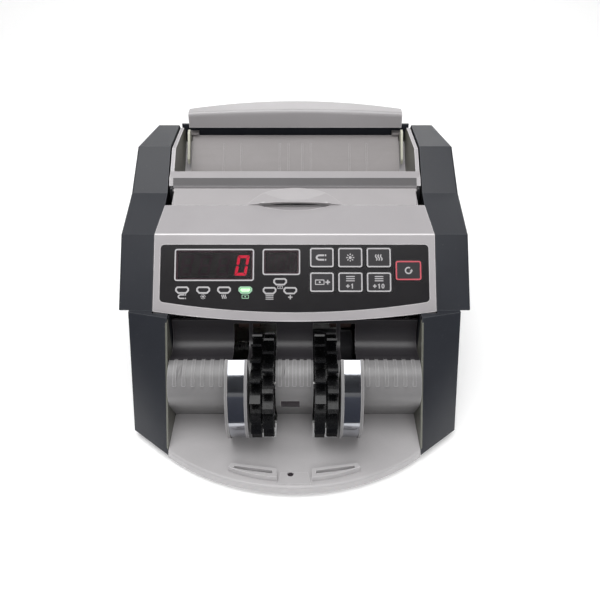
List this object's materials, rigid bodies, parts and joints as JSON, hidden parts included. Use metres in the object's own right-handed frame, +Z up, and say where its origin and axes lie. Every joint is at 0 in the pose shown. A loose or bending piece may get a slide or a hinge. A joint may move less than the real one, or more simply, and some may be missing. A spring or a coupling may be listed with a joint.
{
  "type": "banknote counting machine",
  "caption": "Desktop banknote counter: rear hopper, sloping control panel, roller feed, finned stacker wheels over a front tray, side covers and carry handle.",
  "frame": {"origin": "centre of the machine's footprint box, at the bottom of the rubber feet", "axes": "+X to the operator's right, +Y to the rear (the hopper side), +Z up"},
  "size_m": [0.256, 0.29, 0.18],
  "materials": {
    "side_cover": "fine textured moulding",
    "housing": "satin light grey moulding",
    "hopper_grey": "satin mid grey moulding",
    "tray_grey": "satin grey moulding",
    "guide_cream": "pale moulding",
    "membrane": "semi-gloss printed film",
    "window": "tinted clear",
    "lens": "translucent",
    "lens_lit": "lit translucent",
    "digit_red": "lit segment",
    "key_black": "fine texture",
    "pcb": "solder mask",
    "steel": "brushed",
    "zinc": "zinc plated sheet",
    "chrome": "polished",
    "black_plastic": "satin",
    "wheel_black": "semi-gloss",
    "rubber": "matt",
    "roller_rubber": "ground",
    "motor": "satin",
    "transformer": "varnished laminations",
    "belt": "matt",
    "lamp_glass": "filter glass",
    "sensor_black": "infrared-pass"
  },
  "bodies": {
    "chassis": {"base_plate": "zinc", "rubber_feet": "rubber", "side_cover_left": "side_cover", "side_cover_right": "side_cover", "panel_housing": "housing", "membrane_overlay": "membrane", "display_windows": "window", "indicator_lenses": "lens", "indicator_lens_lit": "lens_lit", "display_board": "pcb", "lit_digit": "digit_red", "hopper_frame": "housing", "hopper_plate": "hopper_grey", "rear_cover": "side_cover", "carry_handle": "housing", "stacker_guide": "tray_grey", "stacker_tray": "tray_grey", "chrome_guides": "chrome", "stacker_sensors": "sensor_black", "side_frame_left": "zinc", "side_frame_right": "zinc", "cross_rods": "steel", "shaft_bearings": "black_plastic", "stacker_brackets": "zinc", "main_motor": "motor", "stacker_motor": "motor", "transformer": "transformer", "main_board": "pcb", "power_inlet": "black_plastic", "display_port": "black_plastic", "drive_belts": "belt", "uv_lamp": "lamp_glass", "counting_sensors": "black_plastic", "separator_block": "black_plastic", "note_guides": "steel", "rear_cover_screws": "steel"},
    "stacker_wheels": {"impeller_shaft": "steel", "impeller_left": "wheel_black", "impeller_right": "wheel_black"},
    "feed_rotor": {"feed_shaft": "steel", "feed_rollers": "roller_rubber"},
    "pickup_rotor": {"pickup_shaft": "steel", "pickup_rollers": "roller_rubber"},
    "transport_rotor": {"transport_shaft": "steel", "transport_rollers": "roller_rubber"},
    "pinch_rotor": {"pinch_rollers": "steel"},
    "main_motor_rotor": {"main_motor_pulley": "steel"},
    "stacker_motor_rotor": {"stacker_motor_pulley": "steel"},
    "left_note_guide": {"hopper_guide_left": "guide_cream"},
    "right_note_guide": {"hopper_guide_right": "guide_cream"},
    "flap": {"access_flap": "housing"},
    "gap_screw": {"gap_knob": "black_plastic"},
    "rocker": {"power_rocker": "black_plastic"},
    "key_magnetic_cap": {"key_magnetic": "key_black"},
    "key_ultraviolet_cap": {"key_ultraviolet": "key_black"},
    "key_infrared_cap": {"key_infrared": "key_black"},
    "key_add_cap": {"key_add": "key_black"},
    "key_batch_plus_one_cap": {"key_batch_plus_one": "key_black"},
    "key_batch_plus_ten_cap": {"key_batch_plus_ten": "key_black"},
    "key_reset_cap": {"key_reset": "key_black"}
  },
  "joints": [
    {"name": "impeller_spin", "type": "hinge", "parent": "chassis", "child": "stacker_wheels", "pos_m": [0, -0.081, 0.0465], "axis": [1, 0, 0], "continuous": true},
    {"name": "feed_spin", "type": "hinge", "parent": "chassis", "child": "feed_rotor", "pos_m": [0, 0.04, 0.076], "axis": [1, 0, 0], "continuous": true},
    {"name": "pickup_spin", "type": "hinge", "parent": "chassis", "child": "pickup_rotor", "pos_m": [0, 0.0893, 0.1094], "axis": [1, 0, 0], "continuous": true},
    {"name": "transport_spin", "type": "hinge", "parent": "chassis", "child": "transport_rotor", "pos_m": [0, -0.02, 0.0715], "axis": [1, 0, 0], "continuous": true},
    {"name": "pinch_spin", "type": "hinge", "parent": "chassis", "child": "pinch_rotor", "pos_m": [0, -0.02, 0.0935], "axis": [1, 0, 0], "continuous": true},
    {"name": "main_motor_spin", "type": "hinge", "parent": "chassis", "child": "main_motor_rotor", "pos_m": [0, 0.045, 0.034], "axis": [1, 0, 0], "continuous": true},
    {"name": "stacker_motor_spin", "type": "hinge", "parent": "chassis", "child": "stacker_motor_rotor", "pos_m": [0, -0.022, 0.033], "axis": [1, 0, 0], "continuous": true},
    {"name": "left_guide_slide", "type": "slide", "parent": "chassis", "child": "left_note_guide", "axis": [1, 0, 0], "range_m": [0, 0.036]},
    {"name": "right_guide_slide", "type": "slide", "parent": "chassis", "child": "right_note_guide", "axis": [-1, 0, 0], "range_m": [0, 0.036]},
    {"name": "flap_hinge", "type": "hinge", "parent": "chassis", "child": "flap", "pos_m": [0, 0.03568, 0.14462], "axis": [-1, 0, 0], "range_deg": [0, 80]},
    {"name": "gap_screw_turn", "type": "hinge", "parent": "chassis", "child": "gap_screw", "pos_m": [0, 0.03, 0.12], "axis": [0, 0, 1], "range_deg": [-180, 180]},
    {"name": "rocker_tilt", "type": "hinge", "parent": "chassis", "child": "rocker", "pos_m": [-0.0305, 0.139, 0.034], "axis": [-1, 0, 0], "range_deg": [0, 18]},
    {"name": "key_magnetic_press", "type": "slide", "parent": "chassis", "child": "key_magnetic_cap", "axis": [0, 0.7426, -0.6697], "range_m": [0, 0.0005], "stiffness_N_per_m": 2000, "springref_m": -0.0002},
    {"name": "key_ultraviolet_press", "type": "slide", "parent": "chassis", "child": "key_ultraviolet_cap", "axis": [0, 0.7426, -0.6697], "range_m": [0, 0.0005], "stiffness_N_per_m": 2000, "springref_m": -0.0002},
    {"name": "key_infrared_press", "type": "slide", "parent": "chassis", "child": "key_infrared_cap", "axis": [0, 0.7426, -0.6697], "range_m": [0, 0.0005], "stiffness_N_per_m": 2000, "springref_m": -0.0002},
    {"name": "key_add_press", "type": "slide", "parent": "chassis", "child": "key_add_cap", "axis": [0, 0.7426, -0.6697], "range_m": [0, 0.0005], "stiffness_N_per_m": 2000, "springref_m": -0.0002},
    {"name": "key_batch_plus_one_press", "type": "slide", "parent": "chassis", "child": "key_batch_plus_one_cap", "axis": [0, 0.7426, -0.6697], "range_m": [0, 0.0005], "stiffness_N_per_m": 2000, "springref_m": -0.0002},
    {"name": "key_batch_plus_ten_press", "type": "slide", "parent": "chassis", "child": "key_batch_plus_ten_cap", "axis": [0, 0.7426, -0.6697], "range_m": [0, 0.0005], "stiffness_N_per_m": 2000, "springref_m": -0.0002},
    {"name": "key_reset_press", "type": "slide", "parent": "chassis", "child": "key_reset_cap", "axis": [0, 0.7426, -0.6697], "range_m": [0, 0.0005], "stiffness_N_per_m": 2000, "springref_m": -0.0002}
  ],
  "couplings": [
    {"joint": "pickup_spin", "follows": "feed_spin", "ratio": 1},
    {"joint": "transport_spin", "follows": "feed_spin", "ratio": 1},
    {"joint": "pinch_spin", "follows": "feed_spin", "ratio": -2.7679},
    {"joint": "main_motor_spin", "follows": "feed_spin", "ratio": 1.7143},
    {"joint": "stacker_motor_spin", "follows": "impeller_spin", "ratio": 0.9286}
  ]
}
